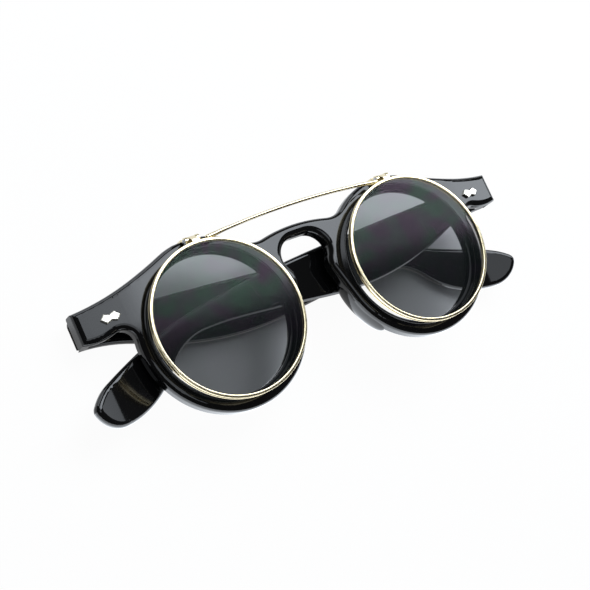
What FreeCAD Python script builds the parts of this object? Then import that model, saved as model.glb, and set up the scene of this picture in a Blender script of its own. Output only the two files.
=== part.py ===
import FreeCAD, Part
import os
from math import sin, cos, tan, asin, acos, atan2, degrees, radians, sqrt

V = FreeCAD.Vector
os.makedirs("parts", exist_ok=True)

# Flip-up sunglasses, folded and lying face up on the right temple. Sizes in mm.
# Everything is drawn with the front's flat face at z = 0, the brow along +Y and
# the wearer's left along +X, and is then tipped onto the folded right temple.

# Front: two round rims joined by a keyhole bridge
OPENING_R = 20.7
BRIDGE_W = 24.6         # between the two lens openings
RIM_W = 4.5
COVE_W = 1.6
COVE_DEPTH = 1.6
FRONT_T = 4.4
FRONT_ROUND = 1.7
BACK_ROUND = 0.6
BRIDGE_DROP = 5.4       # from the rims' top down to the bridge's top
BRIDGE_FILLET = 8.0
BRIDGE_CROWN = 50.0     # radius of the bridge's top over the keyhole
BRIDGE_H = 3.6
KEYHOLE_IN = 4.6        # from a lens opening to the keyhole's side
KEYHOLE_ROUND = 5.6
PINCH_IN = 6.5          # from a lens opening to the keyhole's narrowest place
PINCH_DROP = 11.4       # from the keyhole's top down to its narrowest place
PINCH_ROUND = 3.0
PAD_LEN = 19.0
PAD_DROP = 10.0         # from the lens's middle line down to the pad's middle
PAD_BACK = 4.2          # how far the pad stands behind the front
PAD_T = 4.2
PAD_PROUD = 0.25

# Endpieces: swept back, thicker behind
END_REACH = 13.7        # beyond the rim
END_TOP = 16.0          # above the lenses' middle
END_H = 9.1
BROW_LEAVE = 67.2       # degrees round the lens where the brow line leaves the rim circle
BROW_TURN_IN = 17.6
BROW_TURN_UP = 3.05
UNDER_LEAVE = 8.0       # degrees round the lens where the lower edge meets the rim circle
UNDER_TURN_IN = 9.5
UNDER_TURN_UP = 0.3
SWEEP_LEN = 21.1
SWEEP_R = 60.0
SWEEP = 7.0
END_BACK = 7.3
END_INNER = 10.1        # length of the deep block behind the endpiece
BACK_EASE = 6.0
UNDER_STEP = 1.4        # height of the thin edge left below the deep block
UNDER_STEP_IN = 2.0

# Base lenses
LENS_T = 1.6
LENS_LIP = 0.6
LENS_CURVE = 150.0
LENS_SEAT = 2.1

# Plaques on the endpieces
PLAQUE_L = 5.8
PLAQUE_H = 2.7
PLAQUE_WAIST = 1.6
PLAQUE_T = 0.85
PLAQUE_IN = 9.4
PLAQUE_DOWN = 4.6
PLAQUE_PIN_R = 0.55

# Temple hinges: three knuckles on a screw
PIN_IN = 2.7
PIN_BACK = 1.9
SCREW_R = 0.7
SCREW_HEAD_R = 1.05
SCREW_HEAD_T = 0.5
KNUCKLE_R = 1.4
KNUCKLE_H = 2.2
HINGE_DOWN = 5.2         # from the endpiece's top to the hinge's middle
LEAF_T = 1.1
LEAF_LEN = 11.0
LEAF_H = 4.8
RIVET_R = 0.6
RUN = 0.03              # radial running clearance of a pin
PLAY = 0.06             # end play between knuckles
ROOM = 0.3              # room round the knuckles in the temple's butt

# Temples, folded: the right one lies on the table, the left one in front of it
TEMPLE_T = 3.2
TEMPLE_ROUND = 1.3
TEMPLE_INNER = 1.4      # from the screw's axis to the inner face
TEMPLE_BUTT = 1.75      # from the screw's axis to the butt
BUTT_ROUND = 1.2
FOLD_RIGHT = 5.4        # degrees short of flat against the front
FOLD_LEFT = -0.8
TEMPLE_REF = 7.1        # from the front's end to station 0 of the outline
TEMPLE_HEADING = -1.4   # degrees, of the top edge at the butt
TEMPLE_BUTT_UP = 4.5    # from the hinge's middle to the top edge
TEMPLE_BUTT_DOWN = 3.9
TEMPLE_TOP = [(60.1, 1.3), (100.2, -3.5), (117.7, -8.2), (135.4, -15.6)]
TEMPLE_TIP = [(141.8, -20.4), (142.2, -22.9), (134.2, -27.6)]
TEMPLE_LOW = [(113.3, -16.5), (100.0, -10.1), (87.6, -10.4), (59.5, -13.2), (12.0, -7.3)]
TEMPLE_BOW_FROM = 110.0  # station behind which the tip bows in towards the head
TEMPLE_BOW_R = 60.0
TEMPLE_BOW_SPAN = 36.0

# Flip-up: metal rims with smoke lenses, hung from the top of the front's rims
FLIP_OVER = 2.1         # how far the metal rim is wider than the opening below it
FLIP_BAND = 1.1
FLIP_DEEP = 2.0
FLIP_GAP = 3.0
FLIP_ROUND = 0.6
FLIP_LENS_T = 1.2
FLIP_LENS_LIP = 0.45
FLIP_LENS_CURVE = 200.0
FLIP_AXIS_Z = 1.9
FLIP_PIN_R = 0.45
FLIP_HEAD_R = 0.8
FLIP_HEAD_T = 0.4
FLIP_EAR_R = 1.1
FLIP_EAR_W = 0.9
FLIP_KNUCKLE_R = 1.0
FLIP_KNUCKLE_L = 2.6
FLIP_SEAT = 0.5         # depth of the flat under the bracket
FLIP_TAB_T = 0.5
FLIP_TAB_BACK = 3.6
FLIP_LIP_T = 0.6
FLIP_LIP_DOWN = 2.0
FLIP_SCREW_R = 0.45
FLIP_SCREW_HEAD_R = 0.8
FLIP_SCREW_L = 2.2
FLIP_SCREW_BACK = 2.0
FLIP_SCREW_APART = 2.4
FLIP_ARM_W = 2.2
BAR_RISE = 1.7          # of the bar's crown above the metal rims
BAR_R = 0.5
BAR_END_R = 0.72
BAR_END_IN = 3.8
BAR_SWELL = 7.0
BAR_BACK = 0.9

CX = OPENING_R + BRIDGE_W / 2
COVE_R = OPENING_R + COVE_W
RIM_R = OPENING_R + RIM_W
BRIDGE_TOP = RIM_R - BRIDGE_DROP
KEYHOLE_TOP = BRIDGE_TOP - BRIDGE_H
KEYHOLE_HALF = BRIDGE_W / 2 - KEYHOLE_IN
PINCH_HALF = BRIDGE_W / 2 - PINCH_IN
KEYHOLE_MID = KEYHOLE_TOP - KEYHOLE_ROUND
PINCH_Y = KEYHOLE_TOP - PINCH_DROP
END_X = CX + RIM_R + END_REACH
END_LOW = END_TOP - END_H
PLAQUE_Y = END_TOP - PLAQUE_DOWN
HINGE_Y = END_TOP - HINGE_DOWN
FLIP_R = OPENING_R + FLIP_OVER
FLIP_AXIS_Y = FLIP_R + FLIP_EAR_R
FLIP_W = FLIP_KNUCKLE_L / 2 + PLAY + FLIP_EAR_W
BAR_Y = FLIP_R + BAR_RISE
PIN_X = END_X - PIN_IN
PIN_Z = -END_BACK - PIN_BACK
UP = V(0, 1, 0)
OUT = V(1, 0, 0)
AHEAD = V(0, 0, 1)


def box(x0, x1, y0, y1, z0, z1):
    return Part.makeBox(x1 - x0, y1 - y0, z1 - z0, V(x0, y0, z0))


def rod(r, h, at, way):
    return Part.makeCylinder(r, h, at, way)


def tangent_arcs(start, heading, pts, z=0.0):
    """Arcs that run on smoothly from start through pts, leaving at a heading in degrees."""
    edges = []
    x, y = start
    for px, py in pts:
        chord = degrees(atan2(py - y, px - x))
        bend = (chord - heading + 180) % 360 - 180
        half = sqrt((px - x) ** 2 + (py - y) ** 2) / 2
        bulge = half * tan(radians(bend / 2))
        mx = (x + px) / 2 + bulge * sin(radians(chord))
        my = (y + py) / 2 - bulge * cos(radians(chord))
        edges.append(Part.Arc(V(x, y, z), V(mx, my, z), V(px, py, z)).toShape())
        heading += 2 * bend
        x, y = px, py
    return edges


def spin(edges, at):
    """Solid of revolution about Z from a closed XZ profile."""
    face = Part.Face(Part.Wire(Part.__sortEdges__(edges)))
    solid = face.revolve(V(0, 0, 0), V(0, 0, 1), 360)
    solid.translate(at)
    return solid


def loop(pts):
    vs = [V(*p) for p in pts]
    return [Part.makeLine(a, b) for a, b in zip(vs, vs[1:] + vs[:1])]


def mirrored(shape):
    return shape.mirror(V(0, 0, 0), V(1, 0, 0))


def along(p, deg, d):
    return (p[0] + d * cos(radians(deg)), p[1] + d * sin(radians(deg)))


def on_rim(deg):
    return along((CX, 0), deg, RIM_R)


def line(a, b):
    return Part.makeLine(V(a[0], a[1], 0), V(b[0], b[1], 0))


def rim_arc(a, b):
    pts = [on_rim(d) for d in (a, (a + b) / 2, b)]
    return Part.Arc(*[V(x, y, 0) for x, y in pts]).toShape()


def nose_leave():
    """Degrees round the lens where the straight nose edge leaves the rim circle."""
    dx = CX - PINCH_HALF - PINCH_ROUND
    far = sqrt(dx ** 2 + PINCH_Y ** 2)
    return degrees(atan2(-PINCH_Y, dx) - acos((PINCH_ROUND - RIM_R) / far)) % 360


def bridge_side():
    """Where the fillet beside the bridge meets its crown, and the rim circle in degrees."""
    hub = BRIDGE_TOP - BRIDGE_CROWN
    to_rim = RIM_R + BRIDGE_FILLET
    to_hub = BRIDGE_CROWN + BRIDGE_FILLET
    d = sqrt(CX ** 2 + hub ** 2)
    t = (to_rim ** 2 - to_hub ** 2 + d ** 2) / (2 * d)
    h = sqrt(to_rim ** 2 - t ** 2)
    x = CX - (t * CX - h * hub) / d
    y = (t * hub + h * CX) / d
    k = BRIDGE_CROWN / to_hub
    return (k * x, hub + k * (y - hub)), degrees(atan2(y, x - CX))


def front_outline():
    """Edges of the front seen from ahead, drawn for +X and mirrored."""
    dip, meet = bridge_side()
    nose = nose_leave()
    pinch = (PINCH_HALF, PINCH_Y)
    cheek = (KEYHOLE_HALF, KEYHOLE_MID)
    sway = ((PINCH_HALF + KEYHOLE_HALF) / 2, (PINCH_Y + KEYHOLE_MID) / 2)
    shoulder = (KEYHOLE_HALF - KEYHOLE_ROUND, KEYHOLE_TOP)
    top = (END_X, END_TOP)
    low = (END_X, END_LOW)
    brow_turn = (END_X - BROW_TURN_IN, END_TOP + BROW_TURN_UP)
    under_turn = (END_X - UNDER_TURN_IN, END_LOW + UNDER_TURN_UP)
    lip = along((PINCH_HALF + PINCH_ROUND, PINCH_Y), nose, PINCH_ROUND)
    half = [line(top, low), line(on_rim(nose), lip)]
    half.append(line(shoulder, (0, KEYHOLE_TOP)))
    half += tangent_arcs((0, BRIDGE_TOP), 0, [dip, on_rim(meet)])
    half.append(rim_arc(meet, BROW_LEAVE))
    half += tangent_arcs(on_rim(BROW_LEAVE), BROW_LEAVE - 90, [brow_turn, top])
    half += tangent_arcs(on_rim(UNDER_LEAVE), UNDER_LEAVE + 90, [under_turn, low])
    half.append(rim_arc(UNDER_LEAVE, nose - 360))
    half += tangent_arcs(lip, nose - 90, [pinch])
    half += tangent_arcs(pinch, 90, [sway, cheek])
    half += tangent_arcs(cheek, 90, [shoulder])
    return half + [mirrored(e) for e in half]


def sweep_x():
    return END_X - SWEEP_LEN


def sweep_end():
    """Where the front's swept end starts to be straight, and its depth at the end."""
    x = sweep_x() + SWEEP_R * sin(radians(SWEEP))
    z = -SWEEP_R * (1 - cos(radians(SWEEP)))
    return x, z, z - (END_X + 1 - x) * tan(radians(SWEEP))


def front_slab():
    """Thickness of the front seen from above: flat, then swept back and deeper."""
    x, z, z_end = sweep_end()
    half_deg = SWEEP / 2
    mid = V(sweep_x() + SWEEP_R * sin(radians(half_deg)), 0, -SWEEP_R * (1 - cos(radians(half_deg))))
    end = END_X + 1
    ease_to = END_X - END_INNER
    ease_from = ease_to - BACK_EASE
    ease_mid = ((ease_to + ease_from) / 2, -(END_BACK + FRONT_T) / 2)
    ease = tangent_arcs((ease_to, -END_BACK), 180, [ease_mid, (ease_from, -FRONT_T)])
    half = [
        Part.makeLine(V(0, 0, 0), V(sweep_x(), 0, 0)),
        Part.Arc(V(sweep_x(), 0, 0), mid, V(x, 0, z)).toShape(),
        Part.makeLine(V(x, 0, z), V(end, 0, z_end)),
        Part.makeLine(V(end, 0, z_end), V(end, 0, -END_BACK)),
        Part.makeLine(V(end, 0, -END_BACK), V(ease_to, 0, -END_BACK)),
        Part.makeLine(V(ease_from, 0, -FRONT_T), V(0, 0, -FRONT_T)),
    ]
    for e in ease:
        e.rotate(V(0, 0, 0), OUT, 90)
        half.append(e)
    edges = half + [mirrored(e) for e in half]
    face = Part.Face(Part.Wire(Part.__sortEdges__(edges)))
    face.translate(V(0, -2 * RIM_R, 0))
    return face.extrude(V(0, 4 * RIM_R, 0))


def outline_edges(shape):
    """Edges of the front's outline on its front side."""
    picked = []
    for e in shape.Edges:
        p = e.valueAt((e.FirstParameter + e.LastParameter) / 2)
        inside = e.BoundBox.XLength < 1e-6 and abs(abs(p.x) - END_X) > 1e-3
        if not inside and e.BoundBox.ZMin > -0.75 * FRONT_T:
            picked.append(e)
    return picked


def back_edges(shape):
    """Edges of the flat back round the rims and the bridge."""
    picked = []
    for e in shape.Edges:
        box_e = e.BoundBox
        flat = box_e.ZLength < 1e-6 and abs(box_e.ZMin + FRONT_T) < 1e-6
        if flat and box_e.XLength > 1e-6 and max(abs(box_e.XMin), abs(box_e.XMax)) < CX + RIM_R - 1:
            picked.append(e)
    return picked


def nose_pad():
    """Moulded saddle pad: a long swelling of the nose edge, mostly behind the front."""
    size = FreeCAD.Matrix()
    size.scale(PAD_T / 2, PAD_LEN / 2, PAD_BACK)
    pad = Part.makeSphere(1).transformGeometry(size)
    pad.rotate(V(0, 0, 0), AHEAD, degrees(asin(PAD_DROP / RIM_R)))
    r = RIM_R + PAD_PROUD - PAD_T / 2
    drop = r * PAD_DROP / RIM_R
    pad.translate(V(CX - sqrt(r ** 2 - drop ** 2), -drop, -FRONT_T))
    return pad


def lens(r, lip, curve_r, t, seat):
    """Meniscus lens about Z; its front edge is at z = seat."""
    r = r + lip
    zc = seat - sqrt(curve_r ** 2 - r ** 2)

    def at(rad, x):
        return V(x, 0, zc + sqrt(rad ** 2 - x ** 2))

    back = curve_r - t
    edges = [
        Part.Arc(at(curve_r, 0), at(curve_r, r / 2), at(curve_r, r)).toShape(),
        Part.makeLine(at(curve_r, r), at(back, r)),
        Part.Arc(at(back, r), at(back, r / 2), at(back, 0)).toShape(),
        Part.makeLine(at(back, 0), at(curve_r, 0)),
    ]
    return spin(edges, V(CX, 0, 0))


def opening():
    """Lens opening with a hollow cove at the front."""
    deep = -END_BACK - 2
    hollow = V(0.66 * COVE_R + 0.34 * OPENING_R, 0, -0.66 * COVE_DEPTH)
    edges = loop([(0, 0, deep), (OPENING_R, 0, deep), (OPENING_R, 0, -COVE_DEPTH)])[:2]
    edges.append(Part.Arc(V(OPENING_R, 0, -COVE_DEPTH), hollow, V(COVE_R, 0, 0)).toShape())
    edges += loop([(COVE_R, 0, 0), (COVE_R, 0, 1), (0, 0, 1), (0, 0, deep)])[:3]
    return spin(edges, V(CX, 0, 0))


def front_blank():
    face = Part.Face(Part.Wire(Part.__sortEdges__(front_outline())))
    face.translate(V(0, 0, -2 * END_BACK))
    blank = face.extrude(V(0, 0, 3 * END_BACK)).common(front_slab())
    thin = box(CX, END_X - END_INNER + 1, -RIM_R, on_rim(UNDER_LEAVE)[1] - 0.5, -2 * END_BACK, -FRONT_T)
    step = box(CX, END_X - UNDER_STEP_IN, 0, END_LOW + UNDER_STEP, -2 * END_BACK, -FRONT_T)
    for block in (thin, step):
        blank = blank.cut(block).cut(mirrored(block))
    blank = blank.makeFillet(FRONT_ROUND, outline_edges(blank))
    return blank.makeFillet(BACK_ROUND, back_edges(blank))


def plaque():
    """Double-lozenge plaque with two pins that go through the endpiece."""
    a = PLAQUE_L / 2
    b = PLAQUE_H / 2
    w = PLAQUE_WAIST / 2
    m = 0.53 * a
    pts = [(-a, 0, 0), (-m, b, 0), (0, w, 0), (m, b, 0), (a, 0, 0), (m, -b, 0), (0, -w, 0), (-m, -b, 0)]
    plate = Part.Face(Part.Wire(loop(pts))).extrude(V(0, 0, PLAQUE_T))
    rim = [e for e in plate.Edges if e.BoundBox.ZMin > PLAQUE_T - 1e-6]
    plate = plate.makeChamfer(0.25, rim)
    for x in (-m, m):
        plate = plate.fuse(rod(PLAQUE_PIN_R, END_BACK, V(x, 0, -END_BACK), AHEAD))
    x0, z0, z_end = sweep_end()
    x = END_X - PLAQUE_IN
    plate.rotate(V(0, 0, 0), UP, SWEEP)
    plate.translate(V(x, PLAQUE_Y, z0 - (x - x0) * tan(radians(SWEEP))))
    plate = plate.cut(box(0, END_X, 0, END_TOP, -3 * END_BACK, -END_BACK))
    return plate.removeSplitter()


def knuckle(k):
    """Knuckle k (-1, 0, 1) of the temple hinge, counted upward."""
    h = KNUCKLE_H - PLAY
    return rod(KNUCKLE_R, h, V(PIN_X, HINGE_Y + k * KNUCKLE_H - h / 2, PIN_Z), UP)


def hinge_screw():
    """Screw that is the hinge pin, its slotted head let into the top knuckle."""
    h = 3 * KNUCKLE_H - PLAY
    y0 = HINGE_Y - h / 2
    y1 = HINGE_Y + h / 2
    screw = rod(SCREW_R, h, V(PIN_X, y0, PIN_Z), UP)
    screw = screw.fuse(rod(SCREW_HEAD_R, SCREW_HEAD_T, V(PIN_X, y1 - SCREW_HEAD_T, PIN_Z), UP))
    r = SCREW_HEAD_R
    slot = box(PIN_X - r, PIN_X + r, y1 - SCREW_HEAD_T / 2, y1 + 1, PIN_Z - 0.15 * r, PIN_Z + 0.15 * r)
    return screw.cut(slot).removeSplitter()


def front_leaf():
    """Leaf let flush into the endpiece's back, with the two outer knuckles."""
    x1 = PIN_X + KNUCKLE_R - 0.2
    leaf = box(x1 - LEAF_LEN, x1, HINGE_Y - LEAF_H / 2, HINGE_Y + LEAF_H / 2, -END_BACK, -END_BACK + LEAF_T)
    h = KNUCKLE_H - PLAY
    for k in (-1, 1):
        y0 = HINGE_Y + k * KNUCKLE_H - h / 2
        neck = box(PIN_X - 1.1, PIN_X + 1.1, y0, y0 + h, PIN_Z, -END_BACK + LEAF_T)
        leaf = leaf.fuse(neck).fuse(knuckle(k))
    hole = rod(SCREW_R, 4 * KNUCKLE_H, V(PIN_X, HINGE_Y - 2 * KNUCKLE_H, PIN_Z), UP)
    return leaf.cut(hole).cut(hinge_screw_space()).removeSplitter()


def hinge_screw_space():
    h = 3 * KNUCKLE_H - PLAY
    top = HINGE_Y + h / 2
    return rod(SCREW_HEAD_R, SCREW_HEAD_T + 1, V(PIN_X, top - SCREW_HEAD_T, PIN_Z), UP)


def temple_leaf():
    """Leaf let flush into the temple's inner face, with the middle knuckle."""
    z1 = PIN_Z + TEMPLE_INNER
    x1 = PIN_X - KNUCKLE_R - ROOM
    h = KNUCKLE_H - PLAY
    y0 = HINGE_Y - h / 2
    leaf = box(x1 - LEAF_LEN + 2, x1, HINGE_Y - LEAF_H / 2, HINGE_Y + LEAF_H / 2, z1 - LEAF_T, z1)
    leaf = leaf.fuse(box(x1 - 1, PIN_X, y0, y0 + h, z1 - LEAF_T, z1)).fuse(knuckle(0))
    hole = rod(SCREW_R + RUN, 4 * KNUCKLE_H, V(PIN_X, HINGE_Y - 2 * KNUCKLE_H, PIN_Z), UP)
    return leaf.cut(hole).removeSplitter()


def temple_rivets():
    """Two flush rivets through the temple leaf into the plastic."""
    z1 = PIN_Z + TEMPLE_INNER
    x1 = PIN_X - KNUCKLE_R - ROOM
    first = x1 - 2.2
    span = LEAF_LEN / 2 - 0.9
    pins = [rod(RIVET_R, 2.4, V(x, HINGE_Y, z1 - 2.4), AHEAD) for x in (first, first - span)]
    return Part.Compound(pins)


def temple_slab():
    """Sheet that the temple is cut from: flat, then bowed in behind the ear."""
    x1 = TEMPLE_BUTT + 1
    x0 = PIN_IN - TEMPLE_REF - TEMPLE_BOW_FROM
    y = -(TEMPLE_BUTT_DOWN + 40)
    zc = TEMPLE_INNER + TEMPLE_BOW_R

    def at(r, turn):
        return V(x0 - r * sin(radians(turn)), y, zc - r * cos(radians(turn)))

    end = TEMPLE_BOW_SPAN
    r1 = TEMPLE_BOW_R + TEMPLE_T
    edges = [
        Part.makeLine(V(x1, y, TEMPLE_INNER), at(TEMPLE_BOW_R, 0)),
        Part.Arc(at(TEMPLE_BOW_R, 0), at(TEMPLE_BOW_R, end / 2), at(TEMPLE_BOW_R, end)).toShape(),
        Part.makeLine(at(TEMPLE_BOW_R, end), at(r1, end)),
        Part.Arc(at(r1, end), at(r1, end / 2), at(r1, 0)).toShape(),
        Part.makeLine(at(r1, 0), V(x1, y, TEMPLE_INNER - TEMPLE_T)),
        Part.makeLine(V(x1, y, TEMPLE_INNER - TEMPLE_T), V(x1, y, TEMPLE_INNER)),
    ]
    return Part.Face(Part.Wire(edges)).extrude(V(0, 80, 0))


def temple_blank():
    """Temple with rounded edges; one smooth outline from butt to tip and back."""
    z0 = TEMPLE_INNER - TEMPLE_T - 1
    ref = PIN_IN - TEMPLE_REF
    run = [(ref - x, y) for x, y in TEMPLE_TOP + TEMPLE_TIP + TEMPLE_LOW]
    run.append((TEMPLE_BUTT, -TEMPLE_BUTT_DOWN))
    edges = tangent_arcs((TEMPLE_BUTT, TEMPLE_BUTT_UP), 180 - TEMPLE_HEADING, run, z0)
    edges.append(Part.makeLine(V(TEMPLE_BUTT, -TEMPLE_BUTT_DOWN, z0), V(TEMPLE_BUTT, TEMPLE_BUTT_UP, z0)))
    blank = Part.Face(Part.Wire(edges)).extrude(V(0, 0, 20))
    blank = blank.common(temple_slab())
    rim = [e for e in blank.Edges if e.BoundBox.XLength > 0.1]
    blank = blank.makeFillet(TEMPLE_ROUND, rim)
    x = TEMPLE_BUTT - BUTT_ROUND
    z = TEMPLE_INNER - BUTT_ROUND
    tall = 2 * (TEMPLE_BUTT_UP + TEMPLE_BUTT_DOWN)
    corner = box(x, x + 2 * BUTT_ROUND, -tall / 2, tall / 2, z, z + 2 * BUTT_ROUND)
    corner = corner.cut(rod(BUTT_ROUND, tall, V(x, -tall / 2, z), UP))
    blank = blank.cut(corner)
    blank.translate(V(PIN_X, HINGE_Y, PIN_Z))
    return blank


def temple_pocket():
    """Room in the butt for the front leaf's knuckles, from folded to open."""
    h = 3 * KNUCKLE_H / 2 + ROOM
    y0 = HINGE_Y - h
    y1 = HINGE_Y + h
    r = KNUCKLE_R + ROOM
    z1 = PIN_Z + TEMPLE_INNER + 1
    x1 = PIN_X + TEMPLE_BUTT + 1
    room = rod(r, y1 - y0, V(PIN_X, y0, PIN_Z), UP)
    room = room.fuse(box(PIN_X - r, x1, y0, y1, PIN_Z, z1))
    return room.fuse(box(PIN_X, x1, y0, y1, PIN_Z - r, z1))


def flip_base():
    """Bracket on the rim's top: tab, lip down the front face and two ears."""
    y0 = RIM_R - FLIP_SEAT
    y1 = y0 + FLIP_TAB_T
    ear_low = FLIP_AXIS_Y - FLIP_EAR_R
    ear_top = FLIP_AXIS_Y + FLIP_EAR_R
    x0 = CX - FLIP_W
    x1 = CX + FLIP_W
    base = box(x0, x1, y0, y1, -FLIP_TAB_BACK, FLIP_LIP_T)
    base = base.fuse(box(x0, x1, min(ear_low, y0 - FLIP_LIP_DOWN), max(y1, ear_top), 0, FLIP_LIP_T))
    for x in (x0, x1 - FLIP_EAR_W):
        ear = rod(FLIP_EAR_R, FLIP_EAR_W, V(x, FLIP_AXIS_Y, FLIP_AXIS_Z), OUT)
        web = box(x, x + FLIP_EAR_W, ear_low, ear_top, FLIP_LIP_T / 2, FLIP_AXIS_Z)
        base = base.fuse(ear).fuse(web)
    return base.cut(flip_shaft(FLIP_PIN_R)).removeSplitter()


def flip_shaft(r):
    return rod(r, 2 * FLIP_W, V(CX - FLIP_W, FLIP_AXIS_Y, FLIP_AXIS_Z), OUT)


def flip_pin():
    """Pin with a domed head at each end."""
    pin = flip_shaft(FLIP_PIN_R)
    for x, way in ((CX + FLIP_W, 1), (CX - FLIP_W, -1)):
        head = rod(FLIP_HEAD_R, FLIP_HEAD_T, V(x, FLIP_AXIS_Y, FLIP_AXIS_Z), V(way, 0, 0))
        far = [e for e in head.Edges if abs(e.CenterOfMass.x - x - way * FLIP_HEAD_T) < 1e-6]
        pin = pin.fuse(head.makeFillet(0.7 * FLIP_HEAD_T, far))
    return pin.removeSplitter()


def flip_screw(x):
    """Countersunk screw through the tab into the rim."""
    top = RIM_R - FLIP_SEAT + FLIP_TAB_T
    z = -FLIP_SCREW_BACK
    shank = rod(FLIP_SCREW_R, FLIP_SCREW_L, V(x, top - FLIP_SCREW_L, z), UP)
    sink = FLIP_SCREW_HEAD_R - FLIP_SCREW_R
    head = Part.makeCone(FLIP_SCREW_R, FLIP_SCREW_HEAD_R, sink, V(x, top - sink, z), UP)
    return shank.fuse(head).removeSplitter()


def flip_screws(slotted):
    group = []
    top = RIM_R - FLIP_SEAT + FLIP_TAB_T
    z = -FLIP_SCREW_BACK
    for x in (CX - FLIP_SCREW_APART / 2, CX + FLIP_SCREW_APART / 2):
        screw = flip_screw(x)
        if slotted:
            screw = screw.cut(box(x - 1, x + 1, top - 0.2, top + 1, z - 0.12, z + 0.12))
        group.append(screw)
    return Part.Compound(group)


def flip_rim():
    """Metal rim with a softened front edge."""
    z0 = FLIP_GAP
    z1 = FLIP_GAP + FLIP_DEEP
    r0 = FLIP_R - FLIP_BAND
    k = FLIP_ROUND * (1 - sqrt(0.5))
    edges = loop([(r0, 0, z1 - 0.2), (r0, 0, z0), (FLIP_R - 0.2, 0, z0), (FLIP_R, 0, z0 + 0.2),
                  (FLIP_R, 0, z1 - FLIP_ROUND)])[:4]
    edges.append(Part.Arc(V(FLIP_R, 0, z1 - FLIP_ROUND), V(FLIP_R - k, 0, z1 - k),
                          V(FLIP_R - FLIP_ROUND, 0, z1)).toShape())
    edges += loop([(FLIP_R - FLIP_ROUND, 0, z1), (r0 + 0.2, 0, z1), (r0, 0, z1 - 0.2)])[:2]
    return spin(edges, V(CX, 0, 0))


def flip_lens():
    seat = FLIP_GAP + 0.5 * (FLIP_DEEP + FLIP_LENS_T)
    return lens(FLIP_R - FLIP_BAND, FLIP_LENS_LIP, FLIP_LENS_CURVE, FLIP_LENS_T, seat)


def flip_knuckle():
    """Moving knuckle between the ears, its arm reaching down onto the rim."""
    half = FLIP_KNUCKLE_L / 2
    barrel = rod(FLIP_KNUCKLE_R, FLIP_KNUCKLE_L, V(CX - half, FLIP_AXIS_Y, FLIP_AXIS_Z), OUT)
    x0 = CX - FLIP_ARM_W / 2
    y = FLIP_AXIS_Y
    z = FLIP_AXIS_Z
    r = FLIP_KNUCKLE_R
    zr = FLIP_GAP + 0.75 * FLIP_DEEP
    low = FLIP_R - 0.4
    pts = [(x0, y - 0.7 * r, z + 0.7 * r), (x0, y, z), (x0, y + 0.7 * r, z + 0.7 * r),
           (x0, FLIP_R + 0.55, zr), (x0, low, zr), (x0, low, FLIP_GAP)]
    arm = Part.Face(Part.Wire(loop(pts))).extrude(V(FLIP_ARM_W, 0, 0))
    body = barrel.fuse(arm).cut(flip_shaft(FLIP_PIN_R + RUN))
    return body.removeSplitter()


def flip_bar():
    """Slightly arched round bar from rim to rim, its ends swelling into ball feet."""
    end_x = CX - BAR_END_IN
    end_y = sqrt(FLIP_R ** 2 - BAR_END_IN ** 2) + 0.45 * BAR_END_R
    z = FLIP_GAP + BAR_BACK
    rise = BAR_Y - end_y
    r = (end_x ** 2 + rise ** 2) / (2 * rise)
    hub = V(0, BAR_Y - r, z)
    reach = degrees(atan2(end_x, r - rise))
    bar = Part.makeTorus(r, BAR_R, hub, AHEAD, 0, 360, 2 * reach)
    bar.rotate(hub, AHEAD, 90 - reach)
    for way in (-1, 1):
        foot = V(way * end_x, end_y, z)
        back = V(-way * cos(radians(reach)), sin(radians(reach)), 0)
        bar = bar.fuse(Part.makeCone(BAR_END_R, BAR_R, BAR_SWELL, foot, back))
        bar = bar.fuse(Part.makeSphere(BAR_END_R, foot))
    return bar


def build():
    """All pieces, drawn square to the front."""
    nodes = {}
    frame = front_blank()
    base_lens = lens(OPENING_R, LENS_LIP, LENS_CURVE, LENS_T, -LENS_SEAT)
    seat = box(CX - 2 * FLIP_W, CX + 2 * FLIP_W, RIM_R - FLIP_SEAT, 2 * RIM_R, -END_BACK, 1)
    shared = {
        "base_lens": base_lens,
        "plaque": plaque(),
        "front_hinge_leaf": front_leaf(),
        "hinge_screw": hinge_screw(),
        "flip_base": flip_base().cut(flip_screws(False)),
        "flip_base_screws": flip_screws(True),
        "flip_pin": flip_pin(),
    }
    shared["front_hinge_leaf"] = shared["front_hinge_leaf"].cut(shared["plaque"])
    cuts = [opening(), base_lens, seat, shared["plaque"], shared["front_hinge_leaf"], flip_screws(False)]
    for side in (False, True):
        frame = frame.fuse(mirrored(nose_pad()) if side else nose_pad())
        for c in cuts:
            frame = frame.cut(mirrored(c) if side else c)
    nodes["front_frame"] = frame
    leaf = temple_leaf()
    rivets = temple_rivets()
    leaf = leaf.cut(rivets)
    temple = temple_blank().cut(temple_pocket()).cut(leaf).cut(rivets)
    folding = {"temple": temple, "temple_hinge_leaf": leaf, "temple_rivets": rivets}
    rim = flip_rim()
    flip_glass = flip_lens()
    bar = flip_bar()
    shared["flip_rim"] = rim.cut(flip_glass)
    shared["flip_lens"] = flip_glass
    shared["flip_knuckle"] = flip_knuckle().cut(rod(FLIP_R, 4 * FLIP_GAP, V(CX, 0, 0), AHEAD))
    nodes["flip_bridge_bar"] = bar.cut(rim).cut(mirrored(rim))
    for name, shape in shared.items():
        nodes[name + "_left"] = shape
        nodes[name + "_right"] = mirrored(shape)
    for name, shape in folding.items():
        for hand, fold in (("left", FOLD_LEFT), ("right", FOLD_RIGHT)):
            turned = shape.copy()
            turned.rotate(V(PIN_X, 0, PIN_Z), UP, -fold)
            nodes[name + "_" + hand] = turned if hand == "left" else mirrored(turned)
    return nodes


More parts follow.
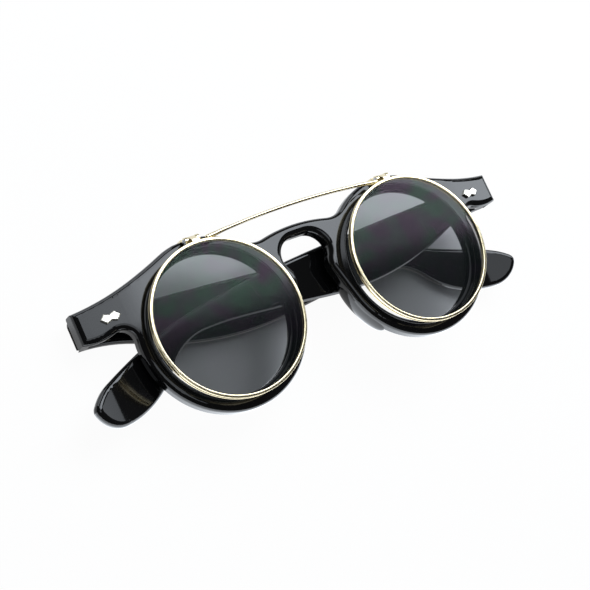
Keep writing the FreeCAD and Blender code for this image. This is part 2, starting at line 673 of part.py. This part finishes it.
def lay_down(nodes):
    """Tip the glasses onto the right temple and put its outer face on z = 0."""
    for shape in nodes.values():
        shape.rotate(V(0, 0, 0), UP, -FOLD_RIGHT)
    whole = Part.Compound(list(nodes.values())).optimalBoundingBox()
    low = nodes["temple_right"].optimalBoundingBox().ZMin
    shift = V(-whole.Center.x, -whole.Center.y, -low)
    print("shift", shift)
    for shape in nodes.values():
        shape.translate(shift)
    return nodes


for name, shape in lay_down(build()).items():
    shape.exportStep("parts/" + name + ".step")
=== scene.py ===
import bpy
from math import pi, radians
from mathutils import Matrix, Vector


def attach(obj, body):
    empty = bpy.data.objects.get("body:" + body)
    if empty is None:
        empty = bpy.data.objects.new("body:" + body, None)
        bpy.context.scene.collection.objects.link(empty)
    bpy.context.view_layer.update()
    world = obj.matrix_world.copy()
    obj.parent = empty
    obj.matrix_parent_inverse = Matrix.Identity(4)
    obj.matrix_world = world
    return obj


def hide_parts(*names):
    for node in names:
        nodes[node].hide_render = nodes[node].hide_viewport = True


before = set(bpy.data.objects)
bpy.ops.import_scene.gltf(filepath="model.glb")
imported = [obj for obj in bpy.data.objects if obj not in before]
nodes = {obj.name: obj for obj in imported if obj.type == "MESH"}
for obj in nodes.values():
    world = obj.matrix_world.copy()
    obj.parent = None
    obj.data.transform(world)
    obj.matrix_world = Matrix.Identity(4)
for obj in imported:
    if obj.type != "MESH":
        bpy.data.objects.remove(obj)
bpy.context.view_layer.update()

# The table the glasses lie on: one large sheet of matt white paper, wider than any view. It
# takes the soft shadow of the frame, and its own light lifts it to a white background where
# it is seen directly or through a clear lens, and less so where polish mirrors it.
scene = bpy.context.scene
table_half = 3.0       # metres from the middle to each edge
table_top = -0.0002    # metres, a hair below the glasses
fibre = 1.111          # millimetres, coarser than real so that it can show
clear_faces = 2.5      # a look through a clear lens passes two faces, through both lenses four
white_seen = 0.96      # share of plain white, the rest of it keeps the shadow
white_mirrored = 0.45
tone_a, tone_b, tone = 6, 7, 2    # the colour sockets of a Mix node, and its colour output


def lin(hex6):
    """An sRGB hex colour as linear RGBA."""
    def one(i):
        c = int(hex6[i:i + 2], 16) / 255
        return c / 12.92 if c <= 0.04045 else ((c + 0.055) / 1.055) ** 2.4
    return (one(1), one(3), one(5), 1.0)


def add(tree, kind, feeds=(), **settings):
    """A node with its settings; feeds are (input, the socket or value that it gets)."""
    n = tree.nodes.new(kind)
    for k, v in settings.items():
        if hasattr(n, k):
            setattr(n, k, v)
        else:
            n.inputs[k.replace("_", " ")].default_value = v
    for k, v in feeds:
        if isinstance(v, bpy.types.NodeSocket):
            tree.links.new(v, n.inputs[k])
        else:
            n.inputs[k].default_value = v
    return n


def finish_named(name):
    """An empty node material and its tree."""
    m = bpy.data.materials.new(name)
    m.use_nodes = True
    m.node_tree.nodes.clear()
    return m, m.node_tree


paper, t = finish_named("matt white paper")
co = add(t, "ShaderNodeTexCoord").outputs["Object"]
grain = add(t, "ShaderNodeTexNoise", [("Vector", co)], Scale=1000.0 / fibre, Detail=3.0)
pulp = add(t, "ShaderNodeMix", [(0, grain.outputs["Fac"]), (tone_a, lin("#f2f2f2")),
                                (tone_b, lin("#f8f8f8"))], data_type="RGBA")
sheet = add(t, "ShaderNodeBsdfDiffuse", [("Color", pulp.outputs[tone])])
path = add(t, "ShaderNodeLightPath").outputs
direct = add(t, "ShaderNodeMath", [(0, path["Transparent Depth"]), (1, clear_faces)],
             operation="LESS_THAN")
seen = add(t, "ShaderNodeMath", [(0, path["Is Camera Ray"]), (1, direct.outputs[0])],
           operation="MULTIPLY")
shine = add(t, "ShaderNodeMath", [(0, path["Is Glossy Ray"]), (1, white_mirrored)],
            operation="MULTIPLY")
lift = add(t, "ShaderNodeMath", [(0, seen.outputs[0]), (1, white_seen), (2, shine.outputs[0])],
           operation="MULTIPLY_ADD")
glow = add(t, "ShaderNodeEmission", Color=lin("#ffffff"), Strength=1.0)
lifted = add(t, "ShaderNodeMixShader", [(0, lift.outputs[0]), (1, sheet.outputs[0]),
                                        (2, glow.outputs[0])])
add(t, "ShaderNodeOutputMaterial", [("Surface", lifted.outputs[0])])
paper.cycles.emission_sampling = "NONE"
me = bpy.data.meshes.new("table")
me.from_pydata([(x * table_half, y * table_half, 0)
                for x, y in ((-1, -1), (1, -1), (1, 1), (-1, 1))], [], [(0, 1, 2, 3)])
me.materials.append(paper)
table = bpy.data.objects.new("table", me)
table.location.z = table_top
scene.collection.objects.link(table)

# Studio light: a wide panel above and behind the brow, a window at the far side, and cards
# overhead, beside and in front. Between them polished black mirrors a dark room.
fade_over = 0.3    # share of a panel's length
world = bpy.data.worlds.new("studio room")
scene.world = world
world.use_nodes = True
t = world.node_tree
t.nodes.clear()
path = add(t, "ShaderNodeLightPath").outputs
fill = add(t, "ShaderNodeBackground", Color=lin("#eef6ff"), Strength=0.18)
dark = add(t, "ShaderNodeBackground", Color=lin("#ffffff"), Strength=0.06)
white = add(t, "ShaderNodeBackground", Color=lin("#ffffff"), Strength=1.0)
room = add(t, "ShaderNodeMixShader", [(0, path["Is Glossy Ray"]), (1, fill.outputs[0]),
                                      (2, dark.outputs[0])])
view = add(t, "ShaderNodeMixShader", [(0, path["Is Camera Ray"]), (1, room.outputs[0]),
                                      (2, white.outputs[0])])
add(t, "ShaderNodeOutputWorld", [("Surface", view.outputs[0])])


def soft_box(name, at, facing, across, size, glow, fade=1.0):
    """A lit rectangle; glow is its brightness next to a sheet of white paper, fade the
    share of it left at the near end."""
    lamp = bpy.data.lights.new(name, "AREA")
    lamp.shape = "RECTANGLE"
    lamp.size, lamp.size_y = size
    lamp.energy = glow * pi * size[0] * size[1]
    lamp.color = lin("#f0f7ff")[:3]
    lamp.use_nodes = True
    t = lamp.node_tree
    t.nodes.clear()
    spot = add(t, "ShaderNodeNewGeometry").outputs["Parametric"]
    along = add(t, "ShaderNodeSeparateXYZ", [("Vector", spot)]).outputs["X"]
    ease = add(t, "ShaderNodeMapRange", [("Value", along)], From_Max=fade_over, To_Min=fade)
    light = add(t, "ShaderNodeEmission", [("Strength", ease.outputs[0])])
    add(t, "ShaderNodeOutputLight", [("Surface", light.outputs[0])])
    z = -Vector(facing).normalized()
    y = z.cross(Vector(across)).normalized()
    o = bpy.data.objects.new(name, lamp)
    o.matrix_world = Matrix.Translation(at) @ Matrix((y.cross(z), y, z)).transposed().to_4x4()
    scene.collection.objects.link(o)


soft_box("ceiling panel", at=(0.36, 0.395, 0.62), facing=(0, 0, -1), across=(1, 0, 0),
         size=(0.92, 0.59), glow=5.7, fade=0.37)
soft_box("window", at=(-0.05, 1.0, 0.26), facing=(0, -1, 0), across=(1, 0, 0),
         size=(0.5, 0.48), glow=2.0)
soft_box("overhead", at=(-0.28, -0.2, 1.3), facing=(0, 0, -1), across=(1, 0, 0),
         size=(0.66, 0.6), glow=1.4)
soft_box("side card", at=(1.0, 0.15, 0.33), facing=(-1, -0.15, -0.3), across=(0, 1, 0),
         size=(0.9, 0.3), glow=1.5)
soft_box("table card", at=(-0.05, -0.461, 0.001), facing=(0, 0, 1), across=(1, 0, 0),
         size=(1.1, 0.9), glow=2.0)

# Camera: a long lens at the photograph's angle, slightly rolled. Light is followed through
# at least eight see-through faces, so that what lies behind the lenses isn't grainy.
lens = bpy.data.cameras.new("camera")
lens.sensor_width = 36.0
lens.lens = 79.65
lens.clip_start = 0.01
lens.shift_x = -0.0012
lens.shift_y = -0.0014
camera = bpy.data.objects.new("camera", lens)
camera.location = (-0.21837, -0.04736, 0.31496)
camera.rotation_euler = (radians(22.257), radians(-28.583), radians(-27.705))
scene.collection.objects.link(camera)
scene.camera = camera
scene.view_settings.view_transform = "Standard"
scene.cycles.min_light_bounces = 2
scene.cycles.min_transparent_bounces = 8

# Front: cut from thick black cellulose acetate sheet, milled, then tumbled in polishing
# grit. That leaves a deep wet gloss with a faint long waviness and hair-fine rubs.
ripple, rub_length = 16.67, 2.857    # millimetres, the rubs coarser than real
ripple_height = 0.00002              # metres


def dress(finish, *names):
    """Gives CAD nodes their finish."""
    for n in names:
        for slot in nodes[n].material_slots:
            slot.material = finish


def black_acetate(name, lean):
    """Polished black acetate; lean is the slope that milling left across a face."""
    m, t = finish_named(name)
    co = add(t, "ShaderNodeTexCoord").outputs["Object"]
    wave = add(t, "ShaderNodeTexNoise", [("Vector", co)], Scale=1000.0 / ripple, Detail=2.0)
    rub = add(t, "ShaderNodeTexNoise", [("Vector", co)], Scale=1000.0 / rub_length, Detail=4.0)
    rough = add(t, "ShaderNodeMapRange", [("Value", rub.outputs["Fac"])],
                To_Min=0.03, To_Max=0.09)
    width = add(t, "ShaderNodeSeparateXYZ", [("Vector", co)]).outputs["Y"]
    tilt = add(t, "ShaderNodeMath", [(0, width), (1, lean)], operation="MULTIPLY")
    flow = add(t, "ShaderNodeMath", [(0, wave.outputs["Fac"]), (1, ripple_height),
                                     (2, tilt.outputs[0])], operation="MULTIPLY_ADD")
    bump = add(t, "ShaderNodeBump", [("Height", flow.outputs[0])], Strength=1.0, Distance=1.0)
    black = add(t, "ShaderNodeMix", [(0, wave.outputs["Fac"]), (tone_a, lin("#070707")),
                                     (tone_b, lin("#0c0c0d"))], data_type="RGBA")
    shade = add(t, "ShaderNodeBsdfPrincipled", [
        ("Base Color", black.outputs[tone]), ("Roughness", rough.outputs["Result"]),
        ("Normal", bump.outputs["Normal"])], IOR=1.49)
    add(t, "ShaderNodeOutputMaterial", [("Surface", shade.outputs[0])])
    return m


dress(black_acetate("black acetate front", lean=0.0), "front_frame")

# Base lenses: clear plastic with a hard, anti-reflection coat, sprung into the grooves of
# the rims. The coat leaves only a weak green to purple sheen.
film_patch = 9.091    # millimetres


def coated_lens(name, low, high, **sheer):
    """A see-through coated lens; sheer holds its density, IOR and shine."""
    m, t = finish_named(name)
    co = add(t, "ShaderNodeTexCoord").outputs["Object"]
    film = add(t, "ShaderNodeTexNoise", [("Vector", co)], Scale=1000.0 / film_patch,
               Detail=1.0, Distortion=1.2).outputs["Fac"]
    rough = add(t, "ShaderNodeMapRange", [("Value", film)], To_Min=0.14, To_Max=0.2)
    band = add(t, "ShaderNodeMapRange", [("Value", film)], From_Min=0.38, From_Max=0.62)
    coat = add(t, "ShaderNodeMix", [(0, band.outputs["Result"]), (tone_a, lin("#8fb49a")),
                                    (tone_b, lin("#ae8ea8"))], data_type="RGBA")
    tint = add(t, "ShaderNodeMix", [(0, film), (tone_a, lin(low)), (tone_b, lin(high))],
               data_type="RGBA")
    shade = add(t, "ShaderNodeBsdfPrincipled", [
        ("Base Color", tint.outputs[tone]), ("Roughness", rough.outputs["Result"]),
        ("Specular Tint", coat.outputs[tone])], **sheer)
    add(t, "ShaderNodeOutputMaterial", [("Surface", shade.outputs[0])])
    return m


clear = coated_lens("clear coated lens", "#e6ebea", "#eef2f1",
                    IOR=1.5, Alpha=0.02, Specular_IOR_Level=0.12)
dress(clear, "base_lens_right", "base_lens_left")

# Plaques: small waisted studs of polished nickel silver with a soft bright sheen. Two pins
# on the back of each go through the endpiece and hold the hinge leaf.


def polished_metal(name, low, high, smooth, dull, grit):
    """Bright metal; grit is the size in millimetres of the polishing marks."""
    m, t = finish_named(name)
    co = add(t, "ShaderNodeTexCoord").outputs["Object"]
    mark = add(t, "ShaderNodeTexNoise", [("Vector", co)], Scale=1000.0 / grit,
               Detail=3.0).outputs["Fac"]
    rough = add(t, "ShaderNodeMapRange", [("Value", mark)], To_Min=smooth, To_Max=dull)
    bare = add(t, "ShaderNodeMix", [(0, mark), (tone_a, lin(low)), (tone_b, lin(high))],
               data_type="RGBA")
    shade = add(t, "ShaderNodeBsdfPrincipled", [
        ("Base Color", bare.outputs[tone]), ("Roughness", rough.outputs["Result"])],
        Metallic=1.0)
    add(t, "ShaderNodeOutputMaterial", [("Surface", shade.outputs[0])])
    return m


stud = polished_metal("polished nickel silver", "#e2dfd4", "#f2efe4",
                      smooth=0.10, dull=0.20, grit=0.8)
dress(stud, "plaque_right", "plaque_left")

# Hinges: three-knuckle leaves of nickel silver, the front leaf sunk in the acetate and the
# temple leaf held by rivets, with a turned steel screw through the knuckles. Milling and
# turning leave both metals greyer and duller than the plaques.
hinge = polished_metal("milled nickel silver", "#b9b6ae", "#cfccc3",
                       smooth=0.18, dull=0.34, grit=0.6)
dress(hinge, *[n for n in nodes if n.startswith(("front_hinge", "temple_hinge"))])
steel = polished_metal("turned steel", "#a9acb0", "#c6c8ca", smooth=0.15, dull=0.30, grit=0.4)
dress(steel, *[n for n in nodes if n.startswith(("hinge_screw", "temple_rivets"))])

# Temples: the same acetate, thinner, with the tip heated and bowed. Their wide faces lean
# a few degrees after milling, so they mirror the dark room and not the ceiling panel.
dress(black_acetate("black acetate temple", lean=0.11), "temple_right", "temple_left")

# Flip-up brackets and bar: nickel silver, pressed, turned and soldered, then plated a pale
# gold. Each bracket is screwed to the brow and carries a knuckle on a steel pin.
gold = polished_metal("pale gold plate", "#dfd0a8", "#efe3c2", smooth=0.10, dull=0.22, grit=1.2)
dress(gold, "flip_base_right", "flip_base_left", "flip_knuckle_right", "flip_knuckle_left",
      "flip_bridge_bar")
dress(steel, *[n for n in nodes if n.startswith(("flip_base_screws", "flip_pin"))])

# Flip rims: beaded eyewire rolled into two rings and closed round the lenses. The wire has
# a full front bead, a fine back bead, and a recessed web between them.
flip_plane = (Matrix.Translation((-0.00075685, 0, 0.01747147))
              @ Matrix.Rotation(radians(-5.4), 4, "Y"))
bead_height = 0.00447    # metres from that plane to the middle of the front bead
wire_sizes = {"Ring Radius": 0.0222, "Front Bead": 0.0005, "Back Bead": 0.00025,
              "Beads Apart": 0.00095, "Web": 0.00028, "Lens Centres": 0.066}
wire = bpy.data.node_groups.new("beaded eyewire", "GeometryNodeTree")
wire.interface.new_socket("Geometry", in_out="OUTPUT", socket_type="NodeSocketGeometry")
keys = {k: wire.interface.new_socket(k, in_out="INPUT", socket_type="NodeSocketFloat").identifier
        for k in wire_sizes}
given = add(wire, "NodeGroupInput").outputs
size = {k: given[k] for k in wire_sizes}
size["Nothing"] = 0.0
for name, start, times, other in (("Back Ring", "Ring Radius", 1.0, "Back Bead"),
                                  ("Web Ring", "Ring Radius", -0.5, "Web"),
                                  ("Bead Width", "Nothing", 2.0, "Front Bead"),
                                  ("Bead Corner", "Nothing", 0.45, "Front Bead"),
                                  ("Back Level", "Nothing", -1.0, "Beads Apart"),
                                  ("Web Level", "Nothing", -0.5, "Beads Apart"),
                                  ("Low Web Level", "Web Level", -1.0, "Web"),
                                  ("First Eye", "Nothing", -0.5, "Lens Centres")):
    size[name] = add(wire, "ShaderNodeMath", [(0, size[other]), (1, times), (2, size[start])],
                     operation="MULTIPLY_ADD").outputs[0]


def ring(radius, section, level):
    """A wire of the given section bent into a ring."""
    circle = add(wire, "GeometryNodeCurvePrimitiveCircle", [("Radius", size[radius])],
                 Resolution=160)
    made = add(wire, "GeometryNodeCurveToMesh", [("Curve", circle.outputs[0]),
                                                 ("Profile Curve", section.outputs[0])])
    place = add(wire, "ShaderNodeCombineXYZ", [("Z", size[level])])
    moved = add(wire, "GeometryNodeTransform", [("Geometry", made.outputs[0]),
                                                ("Translation", place.outputs[0])])
    return moved.outputs[0]


square = add(wire, "GeometryNodeCurvePrimitiveQuadrilateral", [("Width", size["Bead Width"]),
                                                               ("Height", size["Bead Width"])])
front = add(wire, "GeometryNodeFilletCurve", [("Curve", square.outputs[0]),
                                              ("Radius", size["Bead Corner"])],
            mode="POLY", Count=5)
back = add(wire, "GeometryNodeCurvePrimitiveCircle", [("Radius", size["Back Bead"])],
           Resolution=14)
web = add(wire, "GeometryNodeCurvePrimitiveCircle", [("Radius", size["Web"])], Resolution=8)
join = add(wire, "GeometryNodeJoinGeometry", [(0, ring("Ring Radius", front, "Nothing")),
                                              (0, ring("Back Ring", back, "Back Level")),
                                              (0, ring("Web Ring", web, "Web Level")),
                                              (0, ring("Web Ring", web, "Low Web Level"))])
smooth = add(wire, "GeometryNodeSetShadeSmooth", [("Geometry", join.outputs[0])])
first = add(wire, "ShaderNodeCombineXYZ", [("X", size["First Eye"])])
step = add(wire, "ShaderNodeCombineXYZ", [("X", size["Lens Centres"])])
eyes = add(wire, "GeometryNodeMeshLine", [("Start Location", first.outputs[0]),
                                          ("Offset", step.outputs[0])], Count=2)
pair = add(wire, "GeometryNodeInstanceOnPoints", [("Points", eyes.outputs[0]),
                                                  ("Instance", smooth.outputs[0])])
real = add(wire, "GeometryNodeRealizeInstances", [("Geometry", pair.outputs[0])])
plated = add(wire, "GeometryNodeSetMaterial", [("Geometry", real.outputs[0])], Material=gold)
add(wire, "NodeGroupOutput", [("Geometry", plated.outputs[0])])
rims = bpy.data.objects.new("flip_rims", bpy.data.meshes.new("flip_rims"))
scene.collection.objects.link(rims)
bend = rims.modifiers.new("eyewire", "NODES")
bend.node_group = wire
for k, v in wire_sizes.items():
    bend[keys[k]] = v
rolled = rims.evaluated_get(bpy.context.evaluated_depsgraph_get())
rims.data = bpy.data.meshes.new_from_object(rolled)
rims.modifiers.clear()
rims.data.transform(flip_plane @ Matrix.Translation((0, 0, bead_height)))
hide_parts("flip_rim_right", "flip_rim_left")
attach(rims, "flip_up")

# Flip lenses: round, smoke-tinted plastic with the same coat, snapped into the metal rims.
# The tint is even and deep, and what lies behind it still shows.
smoke = coated_lens("smoke tinted lens", "#090b0e", "#0d1014",
                    IOR=1.5, Alpha=0.4, Specular_IOR_Level=0.55)
dress(smoke, "flip_lens_right", "flip_lens_left")
